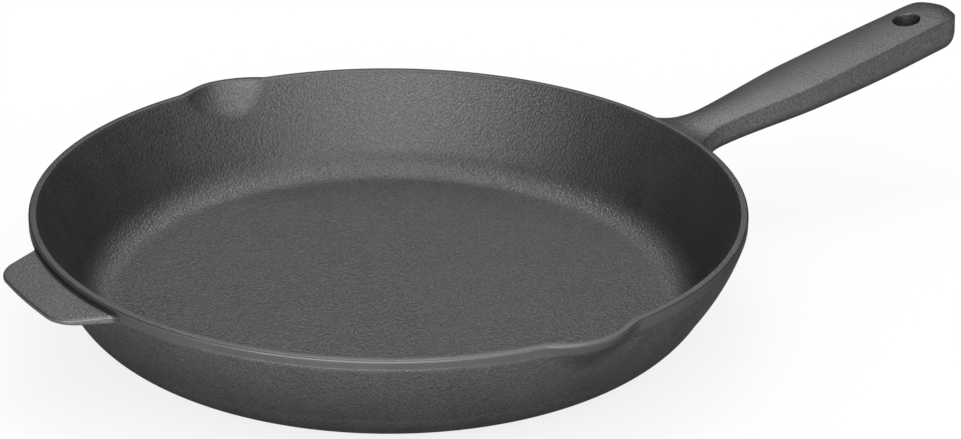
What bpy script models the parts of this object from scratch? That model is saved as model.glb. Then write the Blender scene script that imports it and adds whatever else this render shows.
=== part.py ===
"""A cast-iron frying pan: bowl with two pour spouts, long handle, and a grip tab opposite the handle.

The pan is poured as one casting. It is modelled in the three pieces that its pattern is made of, which meet
along the outside of the bowl. Units are metres and +Z is up. The origin is the middle of the underside, the
long handle runs along +X and the spouts face +Y and -Y.
"""
import math

import bmesh
import bpy

# Bowl
RIM_RADIUS = 0.150                # outside of the lip
PAN_HEIGHT = 0.0479               # underside to the top of the lip
WALL_LEAN = math.radians(25.9)    # outside of the wall away from upright
WALL_THICKNESS = 0.0046
WALL_BOW = 0.0013                 # how far the outside of the wall swells between corner and lip
FLOOR_THICKNESS = 0.005
OUTER_CORNER_RADIUS = 0.028       # between underside and wall
INNER_CORNER_RADIUS = 0.018       # between floor and wall
LIP_BAND_HEIGHT = 0.0042          # upright band below the top of the lip
LIP_OUTER_ROUND = 0.0009
LIP_INNER_ROUND = 0.0003

# Pour spouts
SPOUT_BEARINGS = (math.radians(90), math.radians(270))
SPOUT_REACH = 0.0058              # how far the lip swings out
SPOUT_WIDTH = 0.041               # channel on the inside, measured along the lip
SPOUT_DEPTH = 0.0125              # channel on the inside, measured down from the lip
SPOUT_SHOULDER = 0.0025           # how much wider than the channel the outside is at each end
SPOUT_SOFT_END = 0.9              # 0 creases both ends of a spout, more softens the counterclockwise end
SPOUT_SOFT_SPAN = 0.5             # share of the spout's width over which the softening sets in
SPOUT_KEEL = 0.0035               # how much deeper than the channel the outside is

# Long handle, with lengths measured outwards from the lip
HANDLE_REACH = 0.159              # to the tip
HANDLE_DROP = 0.0028              # top of the root below the top of the lip
HANDLE_RISE = math.radians(11.6)  # slope of the grip
HANDLE_BEND = 0.0077              # where the level root turns up
HANDLE_BEND_LENGTH = 0.008
HANDLE_CROWN = 0.0015             # middle of the top face above its edges
HANDLE_DRAFT = 0.0009             # how far the sides lean out down to the parting line
HANDLE_KEEL_ROUND = 0.005         # width of the round between side and underside
NECK_WIDTH = 0.0204
GRIP_WIDTH = 0.0285
TIP_WIDTH = 0.0266
NECK_THICKNESS = 0.0121
GRIP_THICKNESS = 0.016
NECK_END = 0.018                  # where the neck starts to widen
GRIP_START = 0.074                # where the grip has its full width
GRIP_END = 0.097                  # where the grip starts to taper
GRIP_DEEPEST = 0.13               # where the grip has its full thickness
FLARE_RADIUS = 0.025              # hollow curve from the neck into the rim, seen from above
ROOT_WEB_DEPTH = 0.006            # extra depth of the root at the wall
ROOT_WEB_LENGTH = 0.014
TIP_CORNER_RADIUS = 0.0095        # round corners of the tip, seen from above
TIP_KEEL_RADIUS = 0.0019          # round lower edge of the tip, seen from the side
TIP_BROW_LENGTH = 0.016           # where the top face starts to curve down to the tip
TIP_BROW_DROP = 0.0032            # how far it has come down at the tip

# Hanging hole
HOLE_RADIUS = 0.0062
HOLE_FROM_TIP = 0.0237
HOLE_FLARE = 0.0008               # how much the hole widens at both faces
HOLE_FLARE_DEPTH = 0.002

# Grip tab
TAB_REACH = 0.018                 # from the lip to the tip
TAB_ROOT_WIDTH = 0.0717
TAB_TIP_WIDTH = 0.0535            # between the outer corners before they are rounded
TAB_TIP_BOW = 0.0016              # middle of the outer edge beyond its corners
TAB_CORNER_RADIUS = 0.014
TAB_ROOT_RADIUS = 0.005           # hollow corner between tab and rim
TAB_DROP = 0.0028                 # top of the tab's root below the top of the lip
TAB_FALL = math.radians(3.0)      # slope of the top face towards the tip
TAB_ROOT_THICKNESS = 0.0032
TAB_TIP_THICKNESS = 0.002
TAB_EDGE_ROUND = 0.0008

# Clearance between the bowl and what grows out of it
SEAT_GAP = 0.0003
ROOT_BITE = 0.018                 # how far a root is drawn into the bowl before its seat is cut

# How finely round shapes are divided
TURN_STEP = math.radians(4)
SPOUT_STEPS = 18
WALL_STEPS = 6
CHANNEL_STEPS = 5
ARC_STEPS = 6
FLARE_STEPS = 9
GRIP_STEPS = 14
TIP_STEPS = 7
TOP_STEPS = 8
KEEL_STEPS = 4
HOLE_STEPS = 32
SHARP_ANGLE = math.radians(35)

IRON_COLOUR = (0.075, 0.077, 0.080, 1.0)
IRON_ROUGHNESS = 0.5
IRON_METALLIC = 0.6


def arc(centre, radius, start, end, steps=ARC_STEPS):
    """Points of an arc in a plane, with both ends."""
    points = []
    for step in range(steps + 1):
        angle = start + (end - start) * step / steps
        points.append((centre[0] + radius * math.cos(angle), centre[1] + radius * math.sin(angle)))
    return points


def smooth_step(value, low, high):
    """0 below low, 1 above high, and an even S curve between."""
    share = min(max((value - low) / (high - low), 0.0), 1.0)
    return share * share * (3 - 2 * share)


def rounded_outline(corners, radii):
    """An open outline through the corners, where each inner corner is rounded to its radius."""
    points = [corners[0]]
    for before, corner, after, radius in zip(corners, corners[1:], corners[2:], radii):
        back = math.atan2(before[1] - corner[1], before[0] - corner[0])
        ahead = math.atan2(after[1] - corner[1], after[0] - corner[0])
        opening = math.remainder(ahead - back, math.tau)
        to_centre = radius / math.sin(abs(opening) / 2)
        middle = back + opening / 2
        centre = (corner[0] + to_centre * math.cos(middle), corner[1] + to_centre * math.sin(middle))
        half_turn = math.copysign(math.pi, opening)
        start = back - half_turn / 2
        points += arc(centre, radius, start, start + opening - half_turn)
    points.append(corners[-1])
    return points


def outer_profile():
    """Outside of the bowl, from the edge of the underside up to the top of the lip, as (radius, height)."""
    band_foot = PAN_HEIGHT - LIP_BAND_HEIGHT
    foot_radius = RIM_RADIUS - band_foot * math.tan(WALL_LEAN)
    turn = math.pi / 2 - WALL_LEAN
    corner_centre = (foot_radius - OUTER_CORNER_RADIUS * math.tan(turn / 2), OUTER_CORNER_RADIUS)
    points = arc(corner_centre, OUTER_CORNER_RADIUS, -math.pi / 2, turn - math.pi / 2)
    low_radius, low_height = points[-1]
    for step in range(1, WALL_STEPS + 1):
        share = step / WALL_STEPS
        bow = WALL_BOW * 4 * share * (1 - share)
        radius = low_radius + share * (RIM_RADIUS - low_radius) + bow * math.cos(WALL_LEAN)
        height = low_height + share * (band_foot - low_height) - bow * math.sin(WALL_LEAN)
        points.append((radius, height))
    edge_centre = (RIM_RADIUS - LIP_OUTER_ROUND, PAN_HEIGHT - LIP_OUTER_ROUND)
    points += arc(edge_centre, LIP_OUTER_ROUND, 0, math.pi / 2, 2)
    return points


def inner_profile():
    """Inside of the bowl, from the top of the lip down to the edge of the flat floor."""
    slope = math.tan(WALL_LEAN)
    band_foot = PAN_HEIGHT - LIP_BAND_HEIGHT
    shift = WALL_THICKNESS / math.cos(WALL_LEAN)

    def wall_radius(height):
        return RIM_RADIUS - shift - (band_foot - height) * slope

    edge_height = PAN_HEIGHT - LIP_INNER_ROUND
    flat_edge = wall_radius(PAN_HEIGHT) + LIP_INNER_ROUND
    points = [(flat_edge, PAN_HEIGHT), (wall_radius(edge_height), edge_height)]
    for step in range(1, CHANNEL_STEPS + 1):
        height = PAN_HEIGHT - SPOUT_DEPTH * step / CHANNEL_STEPS
        points.append((wall_radius(height), height))
    turn = math.pi / 2 - WALL_LEAN
    floor_radius = wall_radius(FLOOR_THICKNESS) - INNER_CORNER_RADIUS * math.tan(turn / 2)
    cove_centre = (floor_radius, FLOOR_THICKNESS + INNER_CORNER_RADIUS)
    points += arc(cove_centre, INNER_CORNER_RADIUS, turn - math.pi / 2, -math.pi / 2)
    return points


def swollen_profile(points, distance):
    """A profile moved outwards by the same distance everywhere."""
    normals = []
    for (radius, height), (next_radius, next_height) in zip(points, points[1:]):
        length = math.hypot(next_radius - radius, next_height - height)
        normals.append(((next_height - height) / length, (radius - next_radius) / length))
    swollen = []
    for point, low, high in zip(points, normals[:1] + normals, normals + normals[-1:]):
        share = distance / (1 + low[0] * high[0] + low[1] * high[1])
        swollen.append((point[0] + share * (low[0] + high[0]), point[1] + share * (low[1] + high[1])))
    return swollen


def turn_angles():
    """Angles of the bowl's sections: even steps, with finer ones across each spout."""
    half = (SPOUT_WIDTH / 2 + SPOUT_SHOULDER) / RIM_RADIUS
    angles = []
    for bearing, following in zip(SPOUT_BEARINGS, SPOUT_BEARINGS[1:] + SPOUT_BEARINGS[:1]):
        for step in range(SPOUT_STEPS + 1):
            angles.append(bearing - half + 2 * half * step / SPOUT_STEPS)
        span = (following - bearing) % math.tau - 2 * half
        coarse_steps = 2 * math.ceil(span / TURN_STEP / 2)
        for step in range(1, coarse_steps):
            angles.append(bearing + half + span * step / coarse_steps)
    return angles


def spout_push(angle, height, half_width, depth):
    """How far a spout moves a point of the wall outwards, which is most at the middle of its lip."""
    nearest = min((math.remainder(angle - bearing, math.tau) for bearing in SPOUT_BEARINGS), key=abs)
    across = nearest * RIM_RADIUS / half_width
    down = (PAN_HEIGHT - height) / depth
    softness = 1 + SPOUT_SOFT_END * smooth_step(across, -SPOUT_SOFT_SPAN, SPOUT_SOFT_SPAN)
    return SPOUT_REACH * max(0.0, 1 - across ** 2 - down ** 2) ** softness


def channel_push(angle, height):
    """What a spout does to the inside of the wall."""
    return spout_push(angle, height, SPOUT_WIDTH / 2, SPOUT_DEPTH)


def keel_push(angle, height):
    """What a spout does to the outside of the wall."""
    half_width = SPOUT_WIDTH / 2 + SPOUT_SHOULDER
    return spout_push(angle, height, half_width, SPOUT_DEPTH + SPOUT_KEEL)


def no_push(angle, height):
    """A plain turned surface."""
    return 0.0


def turned_rings(profile, angles, push=no_push):
    """Rings of points of a profile turned about Z."""
    rings = []
    for radius, height in profile:
        ring = []
        for angle in angles:
            reach = radius + push(angle, height)
            ring.append((reach * math.cos(angle), reach * math.sin(angle), height))
        rings.append(ring)
    return rings


def skinned_object(name, rings):
    """An object skinned over rings with the same count of points, and closed by a flat face at each end."""
    shape = bmesh.new()
    grid = [[shape.verts.new(point) for point in ring] for ring in rings]
    for lower, upper in zip(grid, grid[1:]):
        for index in range(len(lower)):
            following = (index + 1) % len(lower)
            shape.faces.new((lower[index], lower[following], upper[following], upper[index]))
    shape.faces.new(grid[0])
    shape.faces.new(grid[-1])
    bmesh.ops.recalc_face_normals(shape, faces=shape.faces)
    mesh = bpy.data.meshes.new(name)
    shape.to_mesh(mesh)
    shape.free()
    mesh.shade_smooth()
    mesh.set_sharp_from_angle(angle=SHARP_ANGLE)
    item = bpy.data.objects.new(name, mesh)
    bpy.context.scene.collection.objects.link(item)
    return item


def finish_piece(item, pan):
    """Gives a piece its own cast-iron material and hangs it on the pan."""
    iron = bpy.data.materials.new(item.name + " cast iron")
    iron.use_nodes = True
    shader = iron.node_tree.nodes["Principled BSDF"]
    shader.inputs["Base Color"].default_value = IRON_COLOUR
    shader.inputs["Roughness"].default_value = IRON_ROUGHNESS
    shader.inputs["Metallic"].default_value = IRON_METALLIC
    item.data.materials.append(iron)
    item.parent = pan


def cut(item, tool):
    """Takes the shape of a tool out of a piece."""
    tool.hide_render = True
    tool.display_type = 'WIRE'
    modifier = item.modifiers.new("cut by " + tool.name, 'BOOLEAN')
    modifier.operation = 'DIFFERENCE'
    modifier.solver = 'EXACT'
    modifier.object = tool


def make_bowl():
    """Base, wall, lip and spouts in one shell."""
    angles = turn_angles()
    outside = turned_rings(outer_profile(), angles, keel_push)
    inside = turned_rings(inner_profile(), angles, channel_push)
    return skinned_object("pan_body", outside + inside)


def make_seat_tool():
    """The room that the bowl takes and the room above it, with the seat gap around it."""
    profile = swollen_profile(outer_profile(), SEAT_GAP)
    well_above = 2 * PAN_HEIGHT
    profile = profile[:-2] + [(RIM_RADIUS + SEAT_GAP, well_above)]
    return skinned_object("seat tool", turned_rings(profile, turn_angles()))


def handle_half_width(x):
    """Half of the handle's width at its top edges."""
    reach = x - RIM_RADIUS
    width = NECK_WIDTH + (GRIP_WIDTH - NECK_WIDTH) * smooth_step(reach, NECK_END, GRIP_START)
    width += (TIP_WIDTH - GRIP_WIDTH) * smooth_step(reach, GRIP_END, HANDLE_REACH)
    flare_y = NECK_WIDTH / 2 + FLARE_RADIUS
    flare_x = math.sqrt((RIM_RADIUS + FLARE_RADIUS) ** 2 - flare_y ** 2)
    rim_x = flare_x * RIM_RADIUS / (RIM_RADIUS + FLARE_RADIUS)
    along = max(0.0, flare_x - max(x, rim_x))
    return width / 2 + FLARE_RADIUS - math.sqrt(FLARE_RADIUS ** 2 - along ** 2)


def handle_edge_height(x):
    """Height of the top edges: level at the root, then a short bend, then the rising grip."""
    past = x - RIM_RADIUS - HANDLE_BEND
    half = HANDLE_BEND_LENGTH / 2
    if past > half:
        run = past
    else:
        run = max(0.0, past + half) ** 2 / (4 * half)
    return PAN_HEIGHT - HANDLE_DROP + run * math.tan(HANDLE_RISE)


def handle_thickness(x):
    """Top edges to underside, with the web that deepens the root."""
    reach = x - RIM_RADIUS
    deepened = smooth_step(reach, NECK_END, GRIP_DEEPEST)
    thickness = NECK_THICKNESS + (GRIP_THICKNESS - NECK_THICKNESS) * deepened
    into_web = max(0.0, HANDLE_BEND - reach) / ROOT_WEB_LENGTH
    return thickness + ROOT_WEB_DEPTH * min(into_web, 1.0) ** 2


def tip_rounding(x, length, depth):
    """How far a round edge of the tip, a quarter of an ellipse, has come in from its straight side."""
    share = max(0.0, x - (RIM_RADIUS + HANDLE_REACH - length)) / length
    return depth * (1 - math.sqrt(max(0.0, 1 - share ** 2)))


def handle_ring(x):
    """One section of the handle, all round."""
    full_half = handle_half_width(x)
    squeeze = (full_half - tip_rounding(x, TIP_CORNER_RADIUS, TIP_CORNER_RADIUS)) / full_half
    edge_height = handle_edge_height(x) - tip_rounding(x, TIP_BROW_LENGTH, TIP_BROW_DROP)
    lift = tip_rounding(x, TIP_KEEL_RADIUS, TIP_KEEL_RADIUS)
    underside = handle_edge_height(x) - handle_thickness(x) + lift
    ring = []
    for step in range(TOP_STEPS + 1):
        across = 1 - 2 * step / TOP_STEPS
        ring.append((full_half * across, edge_height + HANDLE_CROWN * (1 - across ** 2)))
    parting_half = full_half + HANDLE_DRAFT
    half_depth = (edge_height - underside) / 2
    keel = []
    for step in range(KEEL_STEPS + 1):
        angle = math.pi / 2 * step / KEEL_STEPS
        y = parting_half - HANDLE_KEEL_ROUND * (1 - math.cos(angle))
        keel.append((y, underside + half_depth * (1 - math.sin(angle))))
    ring += [(-y, z) for y, z in keel]
    ring += reversed(keel)
    return [(x, y * squeeze, z) for y, z in ring]


def handle_stations():
    """Where along X the handle's sections are taken."""
    stations = [RIM_RADIUS - ROOT_BITE]
    flare_start = -ROOT_BITE / 3
    for step in range(FLARE_STEPS):
        stations.append(RIM_RADIUS + flare_start + (NECK_END - flare_start) * step / FLARE_STEPS)
    tip_start = HANDLE_REACH - TIP_CORNER_RADIUS
    for step in range(GRIP_STEPS):
        stations.append(RIM_RADIUS + NECK_END + (tip_start - NECK_END) * step / GRIP_STEPS)
    for step in range(TIP_STEPS + 1):
        run = TIP_CORNER_RADIUS * math.sin(math.pi / 2 * step / TIP_STEPS)
        stations.append(RIM_RADIUS + tip_start + run)
    return stations


def make_hole_tool():
    """A cutter for the hanging hole, square to the handle's top face and wider at both faces."""
    x = RIM_RADIUS + HANDLE_REACH - HOLE_FROM_TIP
    top = handle_edge_height(x) + HANDLE_CROWN
    depth = (handle_thickness(x) + HANDLE_CROWN) * math.cos(HANDLE_RISE)
    wide = HOLE_RADIUS + 2 * HOLE_FLARE
    profile = [
        (wide, -depth - HOLE_FLARE_DEPTH),
        (HOLE_RADIUS, HOLE_FLARE_DEPTH - depth),
        (HOLE_RADIUS, -HOLE_FLARE_DEPTH),
        (wide, HOLE_FLARE_DEPTH),
    ]
    angles = [math.tau * step / HOLE_STEPS for step in range(HOLE_STEPS)]
    tool = skinned_object("hanging hole tool", turned_rings(profile, angles))
    tool.location = (x, 0, top)
    tool.rotation_euler = (0, -HANDLE_RISE, 0)
    return tool


def make_handle(seat_tool):
    """Flared root, neck, grip and tip, seated on the wall and pierced by the hanging hole."""
    handle = skinned_object("long_handle", [handle_ring(x) for x in handle_stations()])
    cut(handle, seat_tool)
    cut(handle, make_hole_tool())
    return handle


def tab_outline():
    """Outline of the grip tab seen from above, from one side of its root round to the other."""
    root_y = TAB_ROOT_WIDTH / 2
    root_x = -math.sqrt(RIM_RADIUS ** 2 - root_y ** 2)
    tip_y = TAB_TIP_WIDTH / 2
    tip_x = -(RIM_RADIUS + TAB_REACH)
    rim_x = root_x + TAB_ROOT_RADIUS * root_y / RIM_RADIUS
    rim_y = root_y - TAB_ROOT_RADIUS * root_x / RIM_RADIUS
    inward = 1 - ROOT_BITE / RIM_RADIUS
    half = [
        (rim_x * inward, rim_y * inward),
        (rim_x, rim_y),
        (root_x, root_y),
        (tip_x + TAB_TIP_BOW, tip_y),
    ]
    bow_radius = 0.5 * tip_y ** 2 / TAB_TIP_BOW
    corners = half + [(tip_x, 0)] + [(x, -y) for x, y in reversed(half)]
    side_radii = [TAB_EDGE_ROUND, TAB_ROOT_RADIUS, TAB_CORNER_RADIUS]
    return rounded_outline(corners, side_radii + [bow_radius] + side_radii[::-1])


def make_tab(seat_tool):
    """Flat grip tab with rounded edges, thinner towards its tip and seated on the wall."""
    top = []
    underside = []
    for x, y in tab_outline():
        reach = -x - RIM_RADIUS
        height = PAN_HEIGHT - TAB_DROP - reach * math.tan(TAB_FALL)
        thickness = TAB_ROOT_THICKNESS + (TAB_TIP_THICKNESS - TAB_ROOT_THICKNESS) * reach / TAB_REACH
        top.append((x, y, height))
        underside.append((x, y, height - thickness))
    tab = skinned_object("helper_handle", [underside, top])
    rounding = tab.modifiers.new("round edges", 'BEVEL')
    rounding.width = TAB_EDGE_ROUND
    rounding.segments = 3
    rounding.limit_method = 'ANGLE'
    cut(tab, seat_tool)
    return tab


def main():
    for item in list(bpy.data.objects):
        bpy.data.objects.remove(item, do_unlink=True)
    pan = bpy.data.objects.new("frying pan", None)
    bpy.context.scene.collection.objects.link(pan)
    seat_tool = make_seat_tool()
    for piece in (make_bowl(), make_handle(seat_tool), make_tab(seat_tool)):
        finish_piece(piece, pan)


main()
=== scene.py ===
"""Looks of the cast-iron frying pan.

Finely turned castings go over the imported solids, in a studio with a white floor.
"""

import math

import bmesh
import bpy
import numpy as np
from mathutils import Matrix, Vector


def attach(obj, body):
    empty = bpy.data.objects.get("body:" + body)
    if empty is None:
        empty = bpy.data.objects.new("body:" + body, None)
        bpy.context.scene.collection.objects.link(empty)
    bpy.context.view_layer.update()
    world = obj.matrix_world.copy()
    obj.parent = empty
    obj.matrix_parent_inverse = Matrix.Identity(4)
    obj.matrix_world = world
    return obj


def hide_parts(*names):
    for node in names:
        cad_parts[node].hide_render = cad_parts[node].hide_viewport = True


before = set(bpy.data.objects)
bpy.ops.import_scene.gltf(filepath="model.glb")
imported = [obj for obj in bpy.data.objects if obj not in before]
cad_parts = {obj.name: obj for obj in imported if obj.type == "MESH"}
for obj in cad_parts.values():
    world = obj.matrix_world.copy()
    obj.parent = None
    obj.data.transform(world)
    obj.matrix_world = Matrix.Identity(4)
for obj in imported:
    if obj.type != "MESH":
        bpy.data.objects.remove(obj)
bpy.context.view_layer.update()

MM = 0.001
BODY = "root"

# Camera, in millimetres of the pan's own frame
IMAGE_WIDTH = 961
FOCAL_PIXELS = 2695.6
CAMERA_TARGET = (78.71, 48.57, 0.0)
CAMERA_DISTANCE = 1227.6
CAMERA_ELEVATION = math.radians(24.34)
CAMERA_AZIMUTH = math.radians(34.01)      # how far the handle points away from the image's right
CAMERA_ROLL = math.radians(0.97)
SENSOR_WIDTH = 36.0

# Bowl, in millimetres
RIM_RADIUS = 150.0
PAN_HEIGHT = 47.9
WALL_LEAN = math.radians(25.9)
WALL_THICKNESS = 4.6
WALL_BOW = 1.3
FLOOR_THICKNESS = 5.0
OUTER_CORNER_RADIUS = 28.0
INNER_CORNER_RADIUS = 18.0
LIP_BAND_HEIGHT = 4.2
LIP_OUTER_ROUND = 0.9
LIP_INNER_ROUND = 0.35
WALL_MIDDLE = 2.6                         # from the outside of the wall to the middle of it, level

# Pour spouts
SPOUT_REACH = 5.8
SPOUT_WIDTH = 41.0
SPOUT_DEPTH = 12.5
SPOUT_SHOULDER = 2.5
SPOUT_SOFT_END = 0.9
SPOUT_SOFT_SPAN = 0.5
SPOUT_KEEL = 3.5
KEEL_FULLNESS = 1.3
CHANNEL_DEPTH = 14.0                      # inside of the spouts, 1.5 mm deeper than in the solids
CHANNEL_FULLNESS = 2.0
CREASE_ROUND = 0.04
CREASE_END = -0.5
CHANNEL = (SPOUT_WIDTH / 2, CHANNEL_DEPTH, CHANNEL_FULLNESS)
KEEL = (SPOUT_WIDTH / 2 + SPOUT_SHOULDER, SPOUT_DEPTH + SPOUT_KEEL, KEEL_FULLNESS)

# Long handle, with lengths measured outwards from the lip
HANDLE_REACH = 159.0
HANDLE_DROP = 2.8
HANDLE_RISE = math.radians(11.6)
HANDLE_BEND = 7.7
HANDLE_BEND_LENGTH = 8.0
HANDLE_CROWN = 1.5
HANDLE_DRAFT = 0.9
HANDLE_KEEL_ROUND = 5.0
HANDLE_EDGE_START = 0.955                 # share of the half width at which the top rounds over
HANDLE_EDGE_DROP = 0.2
HANDLE_EDGE_DEPTH = 0.8
HANDLE_FILLET = 3.0
HANDLE_TOP_FILLET = 0.8
HANDLE_SEAT_DEPTH = 1.6
HANDLE_SEAT_RANGE = (-14.0, 6.0)          # where the root may start, outwards from the lip
NECK_WIDTH = 20.4
GRIP_WIDTH = 28.5
TIP_WIDTH = 26.6
NECK_THICKNESS = 12.1
GRIP_THICKNESS = 16.0
NECK_END = 18.0
GRIP_START = 74.0
GRIP_END = 97.0
GRIP_DEEPEST = 130.0
FLARE_RADIUS = 25.0
ROOT_WEB_DEPTH = 6.0
ROOT_WEB_LENGTH = 14.0
TIP_CORNER_RADIUS = 9.5
TIP_KEEL_RADIUS = 1.9
TIP_BROW_LENGTH = 16.0
TIP_BROW_DROP = 3.2
HOLE_RADIUS = 6.2
HOLE_FROM_TIP = 23.7
HOLE_FLARE = 1.0
HOLE_TOOL_SPREAD = 1.0
HOLE_TOOL_RISE = 3.0
HOLE_TOOL_CLEARANCE = 0.35

# Grip tab
TAB_REACH = 18.0
TAB_ROOT_WIDTH = 71.7
TAB_TIP_WIDTH = 53.5
TAB_TIP_BOW = 1.6
TAB_CORNER_RADIUS = 14.0
TAB_DROP = 2.8
TAB_FALL = math.radians(3.0)
TAB_ROOT_THICKNESS = 3.2
TAB_TIP_THICKNESS = 2.0
TAB_EDGE_ROUND = 0.8
TAB_SIDE_SETBACK = 2.4
TAB_SEAT_DEPTH = 2.3
TAB_FILLET = 4.5
TAB_TOP_FILLET = 0.6
TAB_UNDER_FILLET = 1.5

# Fineness of the meshes
CORNER_STEPS = 22
OUTER_WALL_ROWS = 28
BAND_ROWS = 4
OUTER_EDGE_STEPS = 6
INNER_EDGE_STEPS = 5
INNER_WALL_ROWS = 32
LIP_TOP_ROWS = 4
DISC_SHARES = (0.02, 0.2, 0.4, 0.6, 0.8, 0.95)
FINE_HALF_ANGLE = math.radians(10)        # on each side of a spout
FINE_COLUMNS = 96
COARSE_COLUMNS = 160
HANDLE_TOP_LINES = 41
HANDLE_SIDE_LINES = 8
HANDLE_KEEL_LINES = 12
HANDLE_UNDER_LINES = 12
HANDLE_ROOT_SHARE = 0.07
HANDLE_TIP_SHARE = 0.9
HANDLE_ROOT_ROWS = 45
HANDLE_MIDDLE_ROWS = 130
HANDLE_TIP_ROWS = 33
HOLE_COLUMNS = 96
HOLE_FLARE_STEPS = 7
TAB_COLUMNS = 321
TAB_CORNER_STEPS = 24
TAB_ROOT_SHARE = 0.4
TAB_ROOT_ROWS = 24
TAB_OUTER_ROWS = 12
TAB_EDGE_STEPS = 7
TAB_EDGE_SHARES = (0.33, 0.67)
SHARP_ANGLE = math.radians(38)
PROBE_STEP = 0.02
FILLET_COSINES = (-0.2, 0.999)
HANDLE_FACING_SPAN = (0.3, 0.9)
TAB_FACING_SPAN = (0.2, 0.9)
HALVINGS = 40

# Iron
IRON_COLOUR = (0.099, 0.100, 0.103)
IRON_ROUGHNESS = 0.4
IRON_METALLIC = 0.85
IRON_EDGE_TINT = 0.3
PEEL_NOISE = (900.0, 2.0, 0.5)            # scale, detail and roughness of a noise texture
SAND_NOISE = (1350.0, 1.0, 0.5)
CLOUD_NOISE = (60.0, 3.0, 0.55)
GRAIN_HEIGHT = 0.0003
SAND_IN_HEIGHT = 0.35
SPECK_GAIN = 1.5
CLOUD_IN_TONE = 0.3
CLOUD_IN_GLOSS = 0.14
GRAIN_IN_GLOSS = 0.06
TONE_SPREAD = 0.35

# Strength of the grain, where 0 is smooth
HANDLE_GRAIN = 0.8
HANDLE_SIDE_GRAIN = 1.5
TAB_GRAIN = 0.6
OUTER_GRAIN = 1.4
BAND_GRAIN = 0.2
WALL_GRAIN = 1.15
FLOOR_GRAIN = 1.7
LIP_GRAIN = 0.3

# Painted light and shade, and some rubbing of the lip, which make the iron lighter above 0 and darker
# below it
PAINTED_LIGHT_AND_RUBBING_GAIN = 0.4
# painted light: the tab's top is made lighter for how the light falls on it
TAB_PAINTED_LIGHT = 0.9
# partly rubbing of the lip, partly a painted sheen on it
LIP_RUBBING_AND_SHEEN = 0.5
# painted highlight: a lighter ring in the cove at the foot of the inner wall
COVE_PAINTED_HIGHLIGHT = 0.3
# painted shade in the crease where the tab meets the wall
GROOVE_PAINTED_SHADE = -0.9
# painted shade on the spouts' bulge below the lip
KEEL_PAINTED_SHADE = -0.45
# the inside of the spout scoops is made lighter
CHANNEL_LIGHTENING = 0.8
# painted light: the handle's flat sides are made lighter
HANDLE_SIDE_PAINTED_LIGHT = 0.4
# painted shade on the handle's underside
HANDLE_UNDER_PAINTED_SHADE = -0.4

# Where grain, painted light and shade, and rubbing change, as the start and end of a smooth step
BAND_SPAN = (-0.6, 0.6)                   # height from the foot of the lip band
SMOOTH_LIP_SPAN = (-0.5, -0.1)            # height from the lip
LIP_RUBBING_AND_SHEEN_SPAN = (-1.3, -0.4)
KEEL_TOP_SPAN = (-5.0, -2.5)
GROOVE_TOP_SPAN = (-1.6, -0.7)
COARSE_FLOOR_SPAN = (0.0, 9.0)            # height from the floor
COVE_FOOT_SPAN = (0.02, 0.8)
COVE_TOP_SPAN = (2.5, 8.0)
SCOOP_SPAN = (0.1, 1.5)                   # push of a spout on the inside
KEEL_SPAN = (0.3, 2.5)                    # push of a spout on the outside
GROOVE_SPAN = (0.6, 1.6)                  # radius from the rim
SIDE_TOP_SPAN = (0.0, 0.08)               # depth in the handle as a share of its thickness
SIDE_FOOT_SPAN = (0.5, 0.9)
UNDER_SPAN = (0.45, 0.9)
TAB_GROOVE_DEPTH = 2.0
RIM_GROOVE_INSET = 0.5
RIM_GROOVE_MARGIN = 1.0


def mesh_object(name, points, faces):
    """A smooth mesh from points in millimetres."""
    mesh = bpy.data.meshes.new(name)
    mesh.from_pydata((np.asarray(points) * MM).tolist(), [], faces)
    mesh.validate()
    shape = bmesh.new()
    shape.from_mesh(mesh)
    bmesh.ops.recalc_face_normals(shape, faces=shape.faces)
    shape.to_mesh(mesh)
    shape.free()
    mesh.shade_smooth()
    item = bpy.data.objects.new(name, mesh)
    bpy.context.scene.collection.objects.link(item)
    return item


def ring_faces(rings, count):
    """Quads that join rings of the same count of points, each ring to the next."""
    faces = []
    for ring in range(rings - 1):
        low = ring * count
        for index in range(count):
            after = (index + 1) % count
            faces.append((low + index, low + after, low + count + after, low + count + index))
    return faces


def arc(centre, radius, start, end, steps):
    turn = np.linspace(start, end, steps + 1)
    return np.column_stack((centre[0] + radius * np.cos(turn), centre[1] + radius * np.sin(turn)))


def smooth_step(value, low, high):
    share = np.clip((value - low) / (high - low), 0.0, 1.0)
    return share * share * (3 - 2 * share)


def step_from(value, start, span):
    """A smooth step over a span that is given from a start."""
    return smooth_step(value, start + span[0], start + span[1])


def outer_profile():
    """Outside of the bowl from the edge of the underside up to the lip, as rows of (radius, height)."""
    band_foot = PAN_HEIGHT - LIP_BAND_HEIGHT
    foot_radius = RIM_RADIUS - band_foot * math.tan(WALL_LEAN)
    turn = math.pi / 2 - WALL_LEAN
    centre = (foot_radius - OUTER_CORNER_RADIUS * math.tan(turn / 2), OUTER_CORNER_RADIUS)
    corner = arc(centre, OUTER_CORNER_RADIUS, -math.pi / 2, turn - math.pi / 2, CORNER_STEPS)
    share = np.linspace(0, 1, OUTER_WALL_ROWS + 1)[1:]
    bow = WALL_BOW * 4 * share * (1 - share)
    radius = corner[-1, 0] + share * (RIM_RADIUS - corner[-1, 0]) + bow * math.cos(WALL_LEAN)
    height = corner[-1, 1] + share * (band_foot - corner[-1, 1]) - bow * math.sin(WALL_LEAN)
    wall = np.column_stack((radius, height))
    band_heights = np.linspace(band_foot, PAN_HEIGHT - LIP_OUTER_ROUND, BAND_ROWS + 2)[1:-1]
    band = np.column_stack((np.full(len(band_heights), RIM_RADIUS), band_heights))
    edge_centre = (RIM_RADIUS - LIP_OUTER_ROUND, PAN_HEIGHT - LIP_OUTER_ROUND)
    edge = arc(edge_centre, LIP_OUTER_ROUND, 0, math.pi / 2, OUTER_EDGE_STEPS)
    return np.vstack((corner, wall, band, edge))


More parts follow.
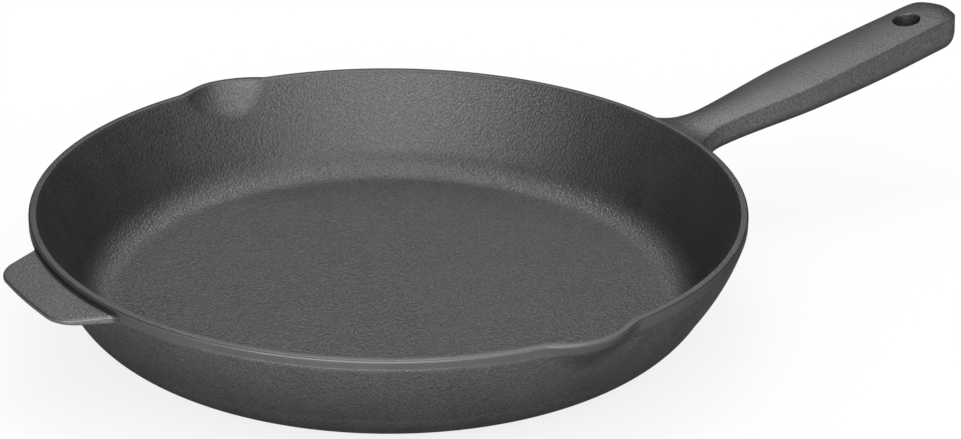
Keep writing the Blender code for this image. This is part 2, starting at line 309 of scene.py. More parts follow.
def inner_profile():
    """Inside of the bowl from the lip down to the edge of the flat floor."""
    slope = math.tan(WALL_LEAN)
    shift = WALL_THICKNESS / math.cos(WALL_LEAN)

    def wall_radius(height):
        return RIM_RADIUS - shift - (PAN_HEIGHT - LIP_BAND_HEIGHT - height) * slope

    turn = math.pi / 2 - WALL_LEAN
    edge_tangent = LIP_INNER_ROUND * math.tan(turn / 2)
    edge_centre = (wall_radius(PAN_HEIGHT) + edge_tangent, PAN_HEIGHT - LIP_INNER_ROUND)
    edge = arc(edge_centre, LIP_INNER_ROUND, math.pi / 2, math.pi / 2 + turn, INNER_EDGE_STEPS)
    floor_radius = wall_radius(FLOOR_THICKNESS) - INNER_CORNER_RADIUS * math.tan(turn / 2)
    cove_centre = (floor_radius, FLOOR_THICKNESS + INNER_CORNER_RADIUS)
    cove = arc(cove_centre, INNER_CORNER_RADIUS, turn - math.pi / 2, -math.pi / 2, CORNER_STEPS)
    heights = np.linspace(edge[-1, 1], cove[0, 1], INNER_WALL_ROWS + 2)[1:-1]
    wall = np.column_stack((wall_radius(heights), heights))
    return np.vstack((edge, wall, cove))


def spout_push(angle, height, half_width, depth, fullness):
    """How far the spouts move a point of the wall outwards.

    More fullness keeps the reach that a spout has at the lip further down.
    """
    nearest = (angle % math.pi) - math.pi / 2
    across = nearest * RIM_RADIUS / half_width
    down = np.maximum(PAN_HEIGHT - height, 0.0) / depth
    softness = 1 + SPOUT_SOFT_END * smooth_step(across, -SPOUT_SOFT_SPAN, SPOUT_SOFT_SPAN)
    inside = 1 - across ** 2 - down ** fullness
    rounded = (inside + np.sqrt(inside ** 2 + CREASE_ROUND ** 2)) / 2
    rounded = np.where(inside < CREASE_END, 0.0, rounded - CREASE_ROUND ** 2 / 8)
    return SPOUT_REACH * np.maximum(rounded, 0.0) ** softness


def make_bowl():
    """Bowl: rows of the profile from the middle of the underside round to the middle of the floor."""
    half = FINE_HALF_ANGLE
    fine = np.linspace(-half, half, FINE_COLUMNS + 1)[:-1]
    coarse = np.linspace(half, math.pi - half, COARSE_COLUMNS + 1)[:-1]
    spread = np.concatenate((fine, coarse))
    angles = np.concatenate((spread + math.pi / 2, spread + 3 * math.pi / 2))
    outer = outer_profile()
    inner = inner_profile()
    rows = []
    for share in DISC_SHARES:
        rows.append((outer[0, 0] * share, 0.0, None))
    rows += [(radius, height, "outer") for radius, height in outer]
    flat = np.linspace(outer[-1, 0], inner[0, 0], LIP_TOP_ROWS + 2)[1:-1]
    for share, radius in zip(np.linspace(0, 1, LIP_TOP_ROWS + 2)[1:-1], flat):
        rows.append((radius, PAN_HEIGHT, share))
    rows += [(radius, height, "inner") for radius, height in inner]
    for share in reversed(DISC_SHARES):
        rows.append((inner[-1, 0] * share, FLOOR_THICKNESS, None))
    points = []
    for radius, height, side in rows:
        if side is None:
            push = 0.0 * angles
        elif side == "outer":
            push = spout_push(angles, height, *KEEL)
        elif side == "inner":
            push = spout_push(angles, height, *CHANNEL)
        else:
            outside = spout_push(angles, height, *KEEL)
            push = (1 - side) * outside + side * spout_push(angles, height, *CHANNEL)
        reach = radius + push
        points.append(np.column_stack((reach * np.cos(angles), reach * np.sin(angles),
                                       np.full(len(angles), height))))
    count = len(angles)
    faces = ring_faces(len(rows), count)
    faces.append(tuple(range(count)))
    faces.append(tuple(range((len(rows) - 1) * count, len(rows) * count)))
    return mesh_object("bowl_casting", np.vstack(points), faces)


def wall_distance(points):
    """Distance of points from the outside of the plain turned wall, more than 0 outside it.

    The wall goes on straight up here, past the lip.
    """
    profile = outer_profile()
    below_edge = profile[profile[:, 1] < PAN_HEIGHT - LIP_OUTER_ROUND]
    profile = np.vstack((below_edge, [(RIM_RADIUS, 2 * PAN_HEIGHT)]))
    place = np.column_stack((np.hypot(points[:, 0], points[:, 1]), points[:, 2]))
    best = np.full(len(points), 1e9)
    sign = np.ones(len(points))
    for start, end in zip(profile, profile[1:]):
        along = end - start
        share = np.clip(((place - start) @ along) / (along @ along), 0, 1)
        away = place - start - share[:, None] * along
        distance = np.hypot(away[:, 0], away[:, 1])
        nearer = distance < best - 1e-9
        side = away[:, 0] * along[1] - away[:, 1] * along[0]
        best = np.where(nearer, distance, best)
        sign = np.where(nearer, np.where(side >= 0, 1.0, -1.0), sign)
    return best * sign


def handle_half_width(x):
    reach = x - RIM_RADIUS
    width = NECK_WIDTH + (GRIP_WIDTH - NECK_WIDTH) * smooth_step(reach, NECK_END, GRIP_START)
    width = width + (TIP_WIDTH - GRIP_WIDTH) * smooth_step(reach, GRIP_END, HANDLE_REACH)
    flare_y = NECK_WIDTH / 2 + FLARE_RADIUS
    flare_x = math.sqrt((RIM_RADIUS + FLARE_RADIUS) ** 2 - flare_y ** 2)
    rim_x = flare_x * RIM_RADIUS / (RIM_RADIUS + FLARE_RADIUS)
    along = np.maximum(0.0, flare_x - np.maximum(x, rim_x))
    return width / 2 + FLARE_RADIUS - np.sqrt(FLARE_RADIUS ** 2 - along ** 2)


def handle_edge_height(x):
    past = x - RIM_RADIUS - HANDLE_BEND
    half = HANDLE_BEND_LENGTH / 2
    run = np.where(past > half, past, np.maximum(0.0, past + half) ** 2 / (4 * half))
    return PAN_HEIGHT - HANDLE_DROP + run * math.tan(HANDLE_RISE)


def handle_thickness(x):
    reach = x - RIM_RADIUS
    deepened = smooth_step(reach, NECK_END, GRIP_DEEPEST)
    thickness = NECK_THICKNESS + (GRIP_THICKNESS - NECK_THICKNESS) * deepened
    into_web = np.clip((HANDLE_BEND - reach) / ROOT_WEB_LENGTH, 0.0, 1.0)
    return thickness + ROOT_WEB_DEPTH * into_web ** 2


def tip_rounding(x, length, depth):
    share = np.clip((x - (RIM_RADIUS + HANDLE_REACH - length)) / length, 0.0, 1.0)
    return depth * (1 - np.sqrt(1 - share ** 2))


def root_fillet(points, normals, radius):
    """Points of a piece that grows out of the wall, swollen into a hollow round where they meet."""
    distance = wall_distance(points)
    slope = [wall_distance(points + PROBE_STEP * axis) - distance for axis in np.eye(3)]
    wall_normals = np.column_stack(slope) / PROBE_STEP
    cosine = np.clip(np.sum(wall_normals * normals, axis=1), *FILLET_COSINES)
    sine = np.sqrt(1 - cosine ** 2)
    tangent = radius * sine / (1 + cosine)
    short = np.clip(tangent - distance / sine, 0.0, radius * sine)
    return points + normals * (radius - np.sqrt(radius ** 2 - short ** 2))[:, None]


def grid_normals(grid, closed):
    """Outward normals of a grid of points, where closed says that the second direction is a loop."""
    along = np.gradient(grid, axis=0)
    if closed:
        around = np.roll(grid, -1, axis=1) - np.roll(grid, 1, axis=1)
    else:
        around = np.gradient(grid, axis=1)
    normals = np.cross(around, along)
    return normals / np.maximum(np.linalg.norm(normals, axis=2), 1e-9)[:, :, None]


def handle_section():
    """The handle's section as (kind, share) samples, over the top and on round the keel."""
    samples = []
    for across in np.linspace(1, -1, HANDLE_TOP_LINES):
        samples.append(("top", across))
    for share in np.linspace(0, 1, HANDLE_SIDE_LINES + 1)[1:]:
        samples.append(("left", share))
    for angle in np.linspace(0, math.pi / 2, HANDLE_KEEL_LINES + 1)[1:]:
        samples.append(("left keel", angle))
    for share in np.linspace(-1, 1, HANDLE_UNDER_LINES + 2)[1:-1]:
        samples.append(("under", share))
    for angle in np.linspace(math.pi / 2, 0, HANDLE_KEEL_LINES + 1)[:-1]:
        samples.append(("right keel", angle))
    for share in np.linspace(1, 0, HANDLE_SIDE_LINES + 1)[:-1]:
        samples.append(("right", share))
    return samples


def handle_points(x, kind, share):
    """Points of one line along the handle at places x."""
    full_half = handle_half_width(x)
    squeeze = (full_half - tip_rounding(x, TIP_CORNER_RADIUS, TIP_CORNER_RADIUS)) / full_half
    edge_height = handle_edge_height(x) - tip_rounding(x, TIP_BROW_LENGTH, TIP_BROW_DROP)
    underside = handle_edge_height(x) - handle_thickness(x)
    underside = underside + tip_rounding(x, TIP_KEEL_RADIUS, TIP_KEEL_RADIUS)
    parting_half = full_half + HANDLE_DRAFT
    half_depth = (edge_height - underside) / 2
    if kind == "top":
        y = full_half * share
        z = edge_height + HANDLE_CROWN * (1 - share ** 2)
        near_edge = np.maximum(0.0, abs(share) - HANDLE_EDGE_START) / (1 - HANDLE_EDGE_START)
        z = z - HANDLE_EDGE_DROP * near_edge ** 2
    elif kind in ("left", "right"):
        near_edge = np.maximum(0.0, 1 - share * half_depth / HANDLE_EDGE_DEPTH)
        y = full_half + HANDLE_DRAFT * share
        z = edge_height - HANDLE_EDGE_DROP * near_edge - share * half_depth
    elif kind == "under":
        y = (parting_half - HANDLE_KEEL_ROUND) * share
        z = underside
    else:
        y = parting_half - HANDLE_KEEL_ROUND * (1 - math.cos(share))
        z = underside + half_depth * (1 - math.sin(share))
    if kind.startswith("left"):
        y = -y
    return np.column_stack((x, y * squeeze, z + 0 * x))


def seat_start(line, low, high, depth):
    """Where a line of points along X has gone that deep into the wall."""
    for _ in range(HALVINGS):
        middle = (low + high) / 2
        if wall_distance(line(np.array([middle])))[0] < -depth:
            low = middle
        else:
            high = middle
    return (low + high) / 2


def make_handle():
    """Long handle, swollen into the wall at its root; the hanging hole is cut through it afterwards."""
    tip = RIM_RADIUS + HANDLE_REACH
    near = np.linspace(0, HANDLE_ROOT_SHARE, HANDLE_ROOT_ROWS + 1)[:-1]
    middle = np.linspace(HANDLE_ROOT_SHARE, HANDLE_TIP_SHARE, HANDLE_MIDDLE_ROWS + 1)[:-1]
    closing = np.sin(np.linspace(0, math.pi / 2, HANDLE_TIP_ROWS + 1))
    end = HANDLE_TIP_SHARE + (1 - HANDLE_TIP_SHARE) * closing
    shares = np.minimum(np.concatenate((near, middle, end)), 1.0)
    first, last = HANDLE_SEAT_RANGE
    lines = []
    for kind, share in handle_section():
        def line(x, kind=kind, share=share):
            return handle_points(x, kind, share)
        start = seat_start(line, RIM_RADIUS + first, RIM_RADIUS + last, HANDLE_SEAT_DEPTH)
        lines.append(line(start + (tip - start) * shares))
    grid = np.stack(lines, axis=1)
    normals = grid_normals(grid, True)
    middle_line = np.mean(grid, axis=1, keepdims=True)
    outwards = np.sum(normals * (grid - middle_line), axis=2).mean()
    normals = normals * math.copysign(1, outwards)
    rows, count, _ = grid.shape
    flat_normals = normals.reshape(-1, 3)
    faces_up = smooth_step(flat_normals[:, 2], *HANDLE_FACING_SPAN)
    radius = HANDLE_FILLET + (HANDLE_TOP_FILLET - HANDLE_FILLET) * faces_up
    points = root_fillet(grid.reshape(-1, 3), flat_normals, radius)
    cap_middle = points[:count].mean(axis=0)
    tip_middle = points[-count:].mean(axis=0)
    points = np.vstack((points, cap_middle, tip_middle))
    faces = ring_faces(rows, count)
    base = rows * count
    tip_row = (rows - 1) * count
    for index in range(count):
        after = (index + 1) % count
        faces.append((index, after, base))
        faces.append((tip_row + index, tip_row + after, base + 1))
    return mesh_object("handle_casting", points, faces)


def make_hole_tool():
    """Cutter of the hanging hole, square to the handle's top and with a rounded flare at both faces."""
    x = RIM_RADIUS + HANDLE_REACH - HOLE_FROM_TIP
    depth = (float(handle_thickness(x)) + HANDLE_CROWN) * math.cos(HANDLE_RISE)
    mouth = HOLE_RADIUS + HOLE_FLARE
    profile = [(mouth + HOLE_TOOL_SPREAD, HOLE_TOOL_RISE), (mouth, HOLE_TOOL_CLEARANCE)]
    for angle in np.linspace(0, math.pi / 2, HOLE_FLARE_STEPS + 1)[1:]:
        inwards = HOLE_FLARE * (1 - math.sin(angle))
        profile.append((HOLE_RADIUS + inwards, -HOLE_FLARE * (1 - math.cos(angle))))
    lower = [(radius, -depth - height) for radius, height in reversed(profile)]
    count = HOLE_COLUMNS
    turn = np.linspace(0, math.tau, count + 1)[:-1]
    points = []
    for radius, height in profile + lower:
        level = np.full(count, height)
        points.append(np.column_stack((radius * np.cos(turn), radius * np.sin(turn), level)))
    rings = len(points)
    faces = ring_faces(rings, count)
    faces.append(tuple(range(count)))
    faces.append(tuple(range((rings - 1) * count, rings * count)))
    tool = mesh_object("hole_tool", np.vstack(points), faces)
    tool.location = Vector((x, 0, float(handle_edge_height(x)) + HANDLE_CROWN)) * MM
    tool.rotation_euler = (0, -HANDLE_RISE, 0)
    return tool


def rounded_outline(corners, radii, steps):
    """An open outline through corners, where each inner corner is rounded to its radius."""
    points = [np.array(corners[0])]
    for before, corner, after, radius in zip(corners, corners[1:], corners[2:], radii):
        back = math.atan2(before[1] - corner[1], before[0] - corner[0])
        ahead = math.atan2(after[1] - corner[1], after[0] - corner[0])
        opening = math.remainder(ahead - back, math.tau)
        to_centre = radius / math.sin(abs(opening) / 2)
        middle = back + opening / 2
        centre = (corner[0] + to_centre * math.cos(middle), corner[1] + to_centre * math.sin(middle))
        half_turn = math.copysign(math.pi, opening)
        start = back - half_turn / 2
        points += list(arc(centre, radius, start, start + opening - half_turn, steps))
    points.append(np.array(corners[-1]))
    return np.array(points)


def resampled(points, count):
    """A line through the same points with even steps."""
    lengths = np.concatenate(([0], np.cumsum(np.linalg.norm(np.diff(points, axis=0), axis=1))))
    places = np.linspace(0, lengths[-1], count)
    return np.column_stack([np.interp(places, lengths, values) for values in points.T])


def make_tab():
    """Flat grip tab with rounded edges, swollen into the wall at its root."""
    root_y = TAB_ROOT_WIDTH / 2
    root_x = -math.sqrt(RIM_RADIUS ** 2 - root_y ** 2)
    tip_y = TAB_TIP_WIDTH / 2
    tip_x = -(RIM_RADIUS + TAB_REACH)
    side = np.array((tip_x + TAB_TIP_BOW - root_x, tip_y - root_y))
    start = np.array((root_x, root_y)) - side / np.linalg.norm(side) * TAB_SIDE_SETBACK
    half = [tuple(start), (tip_x + TAB_TIP_BOW, tip_y)]
    bow_radius = 0.5 * tip_y ** 2 / TAB_TIP_BOW
    corners = half + [(tip_x, 0)] + [(x, -y) for x, y in reversed(half)]
    radii = [TAB_CORNER_RADIUS, bow_radius, TAB_CORNER_RADIUS]
    outline = resampled(rounded_outline(corners, radii, TAB_CORNER_STEPS), TAB_COLUMNS)
    middle = TAB_COLUMNS // 2
    ahead = np.gradient(outline, axis=0)
    ahead /= np.linalg.norm(ahead, axis=1)[:, None]
    outward = np.column_stack((ahead[:, 1], -ahead[:, 0]))
    if outward[middle, 0] > 0:
        outward = -outward
    first_turn = math.atan2(start[1], start[0])
    turn = np.linspace(first_turn, math.tau - first_turn, TAB_COLUMNS)
    seat_radius = RIM_RADIUS - TAB_SEAT_DEPTH
    seat = np.column_stack((seat_radius * np.cos(turn), seat_radius * np.sin(turn)))
    top_round = outline - TAB_EDGE_ROUND * outward

    def levels(plan):
        reach = -plan[:, 0] - RIM_RADIUS
        top = PAN_HEIGHT - TAB_DROP - reach * math.tan(TAB_FALL)
        thickness = TAB_ROOT_THICKNESS + (TAB_TIP_THICKNESS - TAB_ROOT_THICKNESS) * reach / TAB_REACH
        return top, top - thickness

    rows = []
    root_shares = np.linspace(0, TAB_ROOT_SHARE, TAB_ROOT_ROWS + 1)[:-1]
    outer_shares = np.linspace(TAB_ROOT_SHARE, 1, TAB_OUTER_ROWS + 1)[:-1]
    inner_shares = np.concatenate((root_shares, outer_shares))
    for share in inner_shares:
        plan = seat + share * (top_round - seat)
        rows.append(np.column_stack((plan, levels(plan)[0])))
    edge_top, edge_under = levels(outline)
    for angle in np.linspace(0, math.pi / 2, TAB_EDGE_STEPS + 1):
        plan = top_round + TAB_EDGE_ROUND * math.sin(angle) * outward
        rows.append(np.column_stack((plan, edge_top - TAB_EDGE_ROUND * (1 - math.cos(angle)))))
    for share in TAB_EDGE_SHARES:
        height = edge_top - TAB_EDGE_ROUND + share * (edge_under - edge_top + 2 * TAB_EDGE_ROUND)
        rows.append(np.column_stack((outline, height)))
    for angle in np.linspace(math.pi / 2, 0, TAB_EDGE_STEPS + 1):
        plan = top_round + TAB_EDGE_ROUND * math.sin(angle) * outward
        rows.append(np.column_stack((plan, edge_under + TAB_EDGE_ROUND * (1 - math.cos(angle)))))
    for share in inner_shares[::-1]:
        plan = seat + share * (top_round - seat)
        rows.append(np.column_stack((plan, levels(plan)[1])))
    grid = np.stack(rows, axis=0)
    normals = grid_normals(grid, False)
    on_top = normals[5, middle, 2]
    normals = normals * math.copysign(1, on_top)
    flat_normals = normals.reshape(-1, 3)
    faces_up = smooth_step(flat_normals[:, 2], *TAB_FACING_SPAN)
    faces_down = smooth_step(-flat_normals[:, 2], *TAB_FACING_SPAN)
    radius = TAB_FILLET + (TAB_TOP_FILLET - TAB_FILLET) * faces_up
    radius = radius + (TAB_UNDER_FILLET - TAB_FILLET) * faces_down
    points = root_fillet(grid.reshape(-1, 3), flat_normals, radius)
    count = len(outline)
    faces = []
    total = len(rows)
    for row in range(total):
        for index in range(count - 1):
            low = row * count + index
            high = ((row + 1) % total) * count + index
            faces.append((low, low + 1, high + 1, high))
    faces.append(tuple(row * count for row in range(total)))
    faces.append(tuple(row * count + count - 1 for row in range(total)))
    return mesh_object("tab_casting", points, faces)


def handle_sunk(points):
    """How far points of the handle lie under its top edge, as a share of its thickness."""
    return (handle_edge_height(points[:, 0]) - points[:, 2]) / handle_thickness(points[:, 0])


def handle_side(points):
    """1 on the handle's flat sides and 0 on its top and underside."""
    sunk = handle_sunk(points)
    return smooth_step(sunk, *SIDE_TOP_SPAN) * (1 - smooth_step(sunk, *SIDE_FOOT_SPAN))


def around(points):
    """Radius, angle and height of points."""
    return np.hypot(points[:, 0], points[:, 1]), np.arctan2(points[:, 1], points[:, 0]), points[:, 2]


def on_inside(radius, height, push):
    """Which points of the bowl are on its inside, where push is that of the spouts there."""
    band_foot = PAN_HEIGHT - LIP_BAND_HEIGHT
    wall_middle = RIM_RADIUS - WALL_MIDDLE - (band_foot - height) * math.tan(WALL_LEAN)
    return (radius - push < wall_middle) & (height > FLOOR_THICKNESS / 2)


def grain_values(points, piece):
    """How strong the casting grain is at points in millimetres."""
    if piece == "handle":
        return HANDLE_GRAIN + (HANDLE_SIDE_GRAIN - HANDLE_GRAIN) * handle_side(points)
    if piece == "tab":
        return np.full(len(points), TAB_GRAIN)
    radius, angle, height = around(points)
    inside = on_inside(radius, height, spout_push(angle, height, *CHANNEL))
    band = step_from(height, PAN_HEIGHT - LIP_BAND_HEIGHT, BAND_SPAN)
    outer = OUTER_GRAIN + (BAND_GRAIN - OUTER_GRAIN) * band
    lip = step_from(height, PAN_HEIGHT, SMOOTH_LIP_SPAN)
    floor = 1 - step_from(height, FLOOR_THICKNESS, COARSE_FLOOR_SPAN)
    inner = (WALL_GRAIN + (FLOOR_GRAIN - WALL_GRAIN) * floor) * (1 - lip) + LIP_GRAIN * lip
    return np.where(inside, inner, outer)


def painted_light_and_rubbing_values(points, piece):
    """How much lighter, above 0, or darker, below 0, the iron is painted at points in millimetres:
    painted light and shade, with some rubbing of the lip.
    """
    if piece == "handle":
        # painted light on the handle's flat sides and painted shade on its underside
        under = smooth_step(handle_sunk(points), *UNDER_SPAN)
        return HANDLE_SIDE_PAINTED_LIGHT * handle_side(points) + HANDLE_UNDER_PAINTED_SHADE * under
    radius, angle, height = around(points)
    if piece == "tab":
        # painted light on the tab's top, and painted shade in the crease where it meets the wall
        near_wall = 1 - step_from(radius, RIM_RADIUS, GROOVE_SPAN)
        groove = near_wall * (height > PAN_HEIGHT - TAB_DROP - TAB_GROOVE_DEPTH)
        return TAB_PAINTED_LIGHT * (1 - groove) + GROOVE_PAINTED_SHADE * groove
    push = spout_push(angle, height, *CHANNEL)
    inside = on_inside(radius, height, push)
    # rubbing and a painted sheen on the lip
    lip = step_from(height, PAN_HEIGHT, LIP_RUBBING_AND_SHEEN_SPAN)
    scooped = np.where(inside, smooth_step(push, *SCOOP_SPAN), 0.0)
    # painted highlight in the cove
    cove_foot = step_from(height, FLOOR_THICKNESS, COVE_FOOT_SPAN)
    cove_top = 1 - step_from(height, FLOOR_THICKNESS, COVE_TOP_SPAN)
    cove = np.where(inside, cove_foot * cove_top, 0.0)
    # painted shade below the spouts' bulge
    below_lip = 1 - step_from(height, PAN_HEIGHT, KEEL_TOP_SPAN)
    bulge = smooth_step(spout_push(angle, height, *KEEL), *KEEL_SPAN)
    keel = np.where(inside, 0.0, bulge * below_lip)
    # painted shade in the crease of the band above the tab
    at_tab = (points[:, 0] < 0) & (np.abs(points[:, 1]) < TAB_ROOT_WIDTH / 2 + RIM_GROOVE_MARGIN)
    at_tab = at_tab & (radius > RIM_RADIUS - RIM_GROOVE_INSET)
    groove = at_tab * (1 - step_from(height, PAN_HEIGHT, GROOVE_TOP_SPAN))
    light = LIP_RUBBING_AND_SHEEN * lip + CHANNEL_LIGHTENING * scooped * (1 - lip) + COVE_PAINTED_HIGHLIGHT * cove
    return light * (1 - groove) + GROOVE_PAINTED_SHADE * groove + KEEL_PAINTED_SHADE * keel


def mark_surface(item, piece):
    """Writes the grain strength, and the painted light, shade and lip rubbing, of each point where the
    material can read them.
    """
    points = np.zeros(len(item.data.vertices) * 3)
    item.data.vertices.foreach_get("co", points)
    points = points.reshape(-1, 3) / MM
    for name, values_of in (("grain", grain_values), ("painted_light_and_rubbing", painted_light_and_rubbing_values)):
        attribute = item.data.attributes.new(name, 'FLOAT', 'POINT')
        attribute.data.foreach_set("value", values_of(points, piece))


def iron_material(name):
    """Seasoned cast iron: dark grey with a fine cast grain, faint mottling and uneven gloss."""
    iron = bpy.data.materials.new(name)
    iron.use_nodes = True
    nodes = iron.node_tree.nodes
    links = iron.node_tree.links
    shader = nodes["Principled BSDF"]
    shader.inputs["Metallic"].default_value = IRON_METALLIC
    shader.inputs["Specular Tint"].default_value = [IRON_EDGE_TINT] * 3 + [1.0]
    shader.inputs["Specular IOR Level"].default_value = 0.0

    def node(kind, **settings):
        made = nodes.new(kind)
        for key, value in settings.items():
            setattr(made, key, value)
        return made

    def noise(scale, detail, rough):
        made = node("ShaderNodeTexNoise")
        made.inputs["Scale"].default_value = scale
        made.inputs["Detail"].default_value = detail
        made.inputs["Roughness"].default_value = rough
        links.new(place.outputs["Object"], made.inputs["Vector"])
        return made

    def math_node(operation, first, second):
        made = node("ShaderNodeMath", operation=operation)
        for socket, value in zip(made.inputs, (first, second)):
            if isinstance(value, (int, float)):
                socket.default_value = value
            else:
                links.new(value, socket)
        return made.outputs[0]

    def stored(name):
        return node("ShaderNodeAttribute", attribute_name=name, attribute_type='GEOMETRY').outputs["Fac"]

    place = node("ShaderNodeTexCoord")
    strength = stored("grain")
    peel = noise(*PEEL_NOISE).outputs["Fac"]
    sand = noise(*SAND_NOISE).outputs["Fac"]
    cloud = noise(*CLOUD_NOISE).outputs["Fac"]

    tone = node("ShaderNodeValToRGB")
    tone_range = ((0.0, 1 - TONE_SPREAD), (1.0, 1 + TONE_SPREAD))
    for element, (position, level) in zip(tone.color_ramp.elements, tone_range):
        element.position = position
        element.color = [channel * level for channel in IRON_COLOUR] + [1.0]
    speck = math_node('MULTIPLY', math_node('SUBTRACT', sand, 0.5), strength)
    mottling = math_node('ADD', math_node('MULTIPLY', cloud, CLOUD_IN_TONE), (1 - CLOUD_IN_TONE) / 2)
    mixed = math_node('ADD', math_node('MULTIPLY', speck, SPECK_GAIN), mottling)
    links.new(mixed, tone.inputs["Fac"])
    lighter = node("ShaderNodeVectorMath", operation='SCALE')
    links.new(tone.outputs["Color"], lighter.inputs["Vector"])
    # painted light and shade, with some rubbing of the lip, scale the colour
    scale = math_node('ADD', math_node('MULTIPLY', stored("painted_light_and_rubbing"), PAINTED_LIGHT_AND_RUBBING_GAIN), 1.0)
    links.new(scale, lighter.inputs["Scale"])
    links.new(lighter.outputs["Vector"], shader.inputs["Base Color"])

    uneven = math_node('MULTIPLY', math_node('SUBTRACT', cloud, 0.5), CLOUD_IN_GLOSS)
    grainy = math_node('MULTIPLY', strength, GRAIN_IN_GLOSS)
    gloss = math_node('ADD', math_node('ADD', uneven, grainy), IRON_ROUGHNESS)
    links.new(gloss, shader.inputs["Roughness"])

    height = math_node('ADD', peel, math_node('MULTIPLY', sand, SAND_IN_HEIGHT))
    bump = node("ShaderNodeBump")
    bump.inputs["Distance"].default_value = GRAIN_HEIGHT
    links.new(math_node('MULTIPLY', height, strength), bump.inputs["Height"])
    links.new(bump.outputs["Normal"], shader.inputs["Normal"])
    return iron


bowl = make_bowl()
handle = make_handle()
tool = make_hole_tool()
cutter = handle.modifiers.new("hanging hole", 'BOOLEAN')
cutter.operation = 'DIFFERENCE'
cutter.solver = 'EXACT'
cutter.object = tool
bpy.context.view_layer.update()
settled = handle.evaluated_get(bpy.context.evaluated_depsgraph_get())
pierced = bpy.data.meshes.new_from_object(settled)
handle.modifiers.clear()
handle.data = pierced
bpy.data.objects.remove(tool)
tab = make_tab()

for piece, node_name, slot_name, kind in ((bowl, "pan_body", "bowl_iron", "bowl"),
                                          (handle, "long_handle", "handle_iron", "handle"),
                                          (tab, "helper_handle", "tab_iron", "tab")):
    piece.data.shade_smooth()
    piece.data.set_sharp_from_angle(angle=SHARP_ANGLE)
    mark_surface(piece, kind)
    piece.data.materials.clear()
    piece.data.materials.append(iron_material(slot_name + "_look"))
    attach(piece, BODY)
    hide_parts(node_name)


def direction(turn, rise):
    """Unit vector that stands at a turn about the pan and at a rise over the floor."""
    return Vector((-math.sin(turn) * math.cos(rise), -math.cos(turn) * math.cos(rise), math.sin(rise)))


def camera_directions():
    """The camera's right, up and back directions in the pan's frame."""
    back = direction(CAMERA_AZIMUTH, CAMERA_ELEVATION)
    level = Vector((math.cos(CAMERA_AZIMUTH), -math.sin(CAMERA_AZIMUTH), 0))
    upright = back.cross(level)
    right = math.cos(CAMERA_ROLL) * level + math.sin(CAMERA_ROLL) * upright
    return right, back.cross(right), back


right, up, back = camera_directions()
camera = bpy.data.objects.new("camera", bpy.data.cameras.new("camera"))
bpy.context.scene.collection.objects.link(camera)
camera.data.sensor_width = SENSOR_WIDTH
camera.data.lens = SENSOR_WIDTH * FOCAL_PIXELS / IMAGE_WIDTH
camera.data.clip_start = 0.05
camera.data.clip_end = 20.0
place = (Vector(CAMERA_TARGET) + back * CAMERA_DISTANCE) * MM
camera.matrix_world = Matrix.Translation(place) @ Matrix((right, up, back)).transposed().to_4x4()
bpy.context.scene.camera = camera


# Studio: lamps as (name, azimuth from the photo's camera, elevation, power), with both angles in degrees
LAMP_DISTANCE = 1.6
LAMP_SIZE = 0.9
LAMP_TARGET = (0.03, 0.0, 0.03)
LAMPS = (
    ("front_left", -30.0, 12.0, 11.8),
    ("front", 0.0, 12.0, 15.0),
    ("front_right", 30.0, 12.0, 3.2),
    ("key_right", 30.0, 28.0, 2.4),
    ("key_right_high", 30.0, 45.0, 3.0),
    ("top", 0.0, 65.0, 2.6),
    ("top_left", -30.0, 65.0, 2.2),
    ("side_left", -60.0, 28.0, 1.2),
    ("side_right", 60.0, 28.0, 1.4),
    ("side_right_high", 60.0, 45.0, 1.4),
    ("side_top", 90.0, 65.0, 3.6),
    ("back_top", 180.0, 65.0, 9.8),
    ("back", 180.0, 45.0, 4.0),
    ("back_left", -150.0, 65.0, 3.4),
)
HORIZON_LIGHT = 0.15
HORIZON_TOP = math.radians(6)
SKY_LIGHT = 0.05
SKY_START = math.radians(20)
SHADE_REACH = 0.15
SHADE_FOR_CAMERA = 0.12
BACKDROP_SHARE = 0.94
STUDIO_HALF = 3000.0
STUDIO_DROP = 0.3
PAPER_COLOUR = (0.9, 0.9, 0.9, 1)
PAPER_ROUGHNESS = 0.9

for name, azimuth, elevation, power in LAMPS:
    lamp = bpy.data.objects.new(name, bpy.data.lights.new(name, 'AREA'))
    lamp.data.shape = 'DISK'
    lamp.data.size = LAMP_SIZE
    lamp.data.energy = power
    aim = direction(CAMERA_AZIMUTH - math.radians(azimuth), math.radians(elevation))
    lamp.location = Vector(LAMP_TARGET) + aim * LAMP_DISTANCE
    lamp.rotation_mode = 'QUATERNION'
    lamp.rotation_quaternion = aim.to_track_quat('Z', 'Y')
    lamp.visible_camera = False
    bpy.context.scene.collection.objects.link(lamp)

world = bpy.data.worlds.new("studio")
bpy.context.scene.world = world
world.use_nodes = True
nodes = world.node_tree.nodes
links = world.node_tree.links
compass = nodes.new("ShaderNodeTexCoord")
split = nodes.new("ShaderNodeSeparateXYZ")
links.new(compass.outputs["Generated"], split.inputs["Vector"])
fade = nodes.new("ShaderNodeMapRange")
fade.interpolation_type = 'SMOOTHSTEP'
fade.inputs["From Min"].default_value = math.sin(HORIZON_TOP)
fade.inputs["From Max"].default_value = math.sin(SKY_START)
fade.inputs["To Min"].default_value = HORIZON_LIGHT
fade.inputs["To Max"].default_value = SKY_LIGHT
links.new(split.outputs["Z"], fade.inputs["Value"])
links.new(fade.outputs["Result"], nodes["Background"].inputs["Strength"])
nodes["Background"].inputs["Color"].default_value = (1, 1, 1, 1)

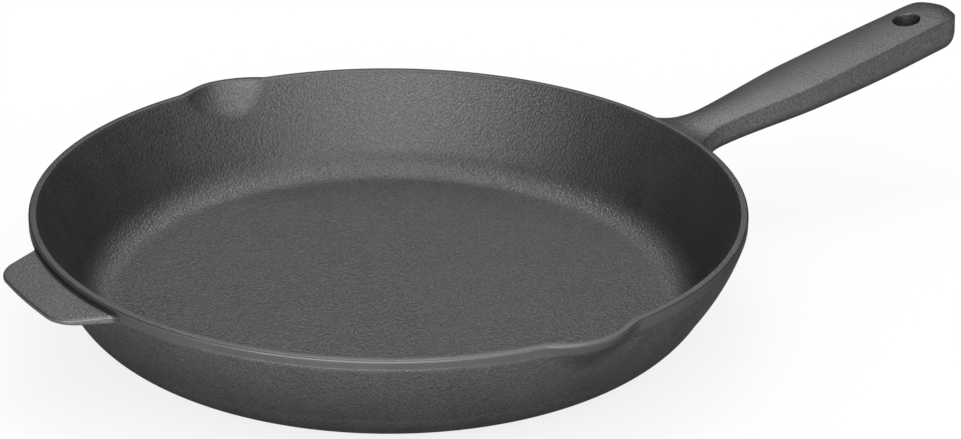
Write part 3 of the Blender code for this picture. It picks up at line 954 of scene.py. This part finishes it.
# Floor: pale paper, which the camera and reflections see as white with the pan's soft shadow on it
floor_corners = ((-1, -1), (1, -1), (1, 1), (-1, 1))
floor_points = [(x * STUDIO_HALF, y * STUDIO_HALF, -STUDIO_DROP) for x, y in floor_corners]
floor = mesh_object("studio_floor", floor_points, [(0, 1, 2, 3)])
paper = bpy.data.materials.new("studio_paper")
paper.use_nodes = True
nodes = paper.node_tree.nodes
links = paper.node_tree.links
nodes["Principled BSDF"].inputs["Base Color"].default_value = PAPER_COLOUR
nodes["Principled BSDF"].inputs["Roughness"].default_value = PAPER_ROUGHNESS
shade = nodes.new("ShaderNodeAmbientOcclusion")
shade.inputs["Distance"].default_value = SHADE_REACH
glow = nodes.new("ShaderNodeEmission")
ray = nodes.new("ShaderNodeLightPath")
paler = nodes.new("ShaderNodeMath")
paler.operation = 'MULTIPLY_ADD'
paler.inputs[1].default_value = SHADE_FOR_CAMERA - 1
paler.inputs[2].default_value = 1.0
links.new(ray.outputs["Is Camera Ray"], paler.inputs[0])
shaded = nodes.new("ShaderNodeMix")
shaded.inputs["A"].default_value = 1.0
links.new(paler.outputs[0], shaded.inputs["Factor"])
links.new(shade.outputs["AO"], shaded.inputs["B"])
links.new(shaded.outputs["Result"], glow.inputs["Strength"])
seen = ray.outputs["Is Camera Ray"]
for kind in ("Is Glossy Ray", "Is Transmission Ray"):
    either = nodes.new("ShaderNodeMath")
    either.operation = 'MAXIMUM'
    links.new(seen, either.inputs[0])
    links.new(ray.outputs[kind], either.inputs[1])
    seen = either.outputs[0]
share = nodes.new("ShaderNodeMath")
share.operation = 'MULTIPLY'
share.inputs[1].default_value = BACKDROP_SHARE
links.new(seen, share.inputs[0])
blend = nodes.new("ShaderNodeMixShader")
links.new(share.outputs[0], blend.inputs["Fac"])
links.new(nodes["Principled BSDF"].outputs["BSDF"], blend.inputs[1])
links.new(glow.outputs["Emission"], blend.inputs[2])
links.new(blend.outputs["Shader"], nodes["Material Output"].inputs["Surface"])
floor.data.materials.append(paper)

bpy.context.scene.view_settings.view_transform = 'Standard'
